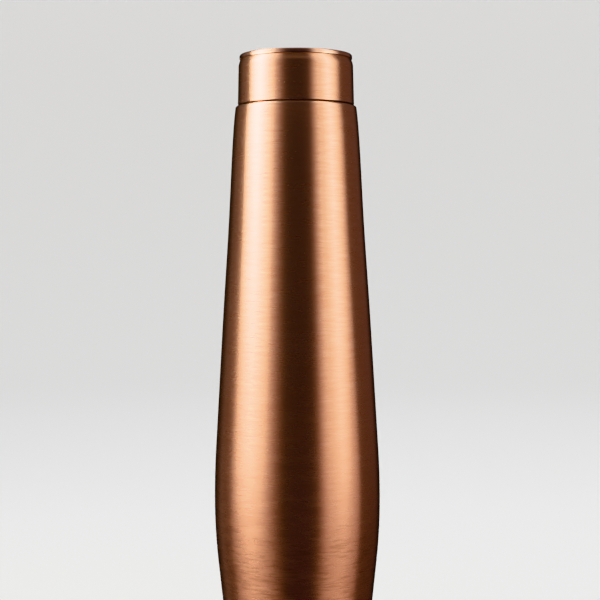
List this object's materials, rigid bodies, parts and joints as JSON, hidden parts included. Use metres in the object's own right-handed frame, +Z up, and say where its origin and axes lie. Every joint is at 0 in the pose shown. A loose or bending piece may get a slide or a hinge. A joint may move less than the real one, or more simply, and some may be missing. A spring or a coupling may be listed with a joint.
{
  "type": "screw-cap copper water bottle",
  "caption": "Slim tapered copper water bottle with a flush cylindrical screw cap, a rolled-thread neck and a silicone seal.",
  "frame": {"origin": "centre of the foot ring, on the surface that the bottle stands on", "axes": "+Z up along the bottle's axis; the bottle is round, so X and Y are any two directions across it"},
  "size_m": [0.076, 0.076, 0.2833],
  "materials": {
    "copper_satin": "satin copper, brushed round the axis",
    "copper_bare": "plain drawn copper, slightly brighter and less even than the outside",
    "braze": "smooth pale brazing alloy",
    "solder": "smooth tin solder",
    "silicone": "matte translucent white silicone"
  },
  "bodies": {
    "bottle": {"body_shell": "copper_satin", "base_pan": "copper_satin", "base_braze_ring": "braze", "neck_sleeve": "copper_bare", "neck_braze_ring": "braze"},
    "seal": {"seal_ring": "silicone"},
    "cap": {"cap_thread_cup": "copper_bare", "cap_solder_ring": "solder", "cap_shell": "copper_satin", "cap_top_disc": "copper_satin"}
  },
  "joints": [
    {"name": "cap_lift", "type": "slide", "parent": "bottle", "child": "seal", "axis": [0, 0, 1], "range_m": [0, 0.0301]},
    {"name": "cap_turn", "type": "hinge", "parent": "seal", "child": "cap", "pos_m": [0, 0, 0.27], "axis": [0, 0, 1], "range_deg": [0, 2160]}
  ],
  "couplings": [
    {"joint": "cap_lift", "follows": "cap_turn", "m_per_rad": 0.00079577}
  ]
}
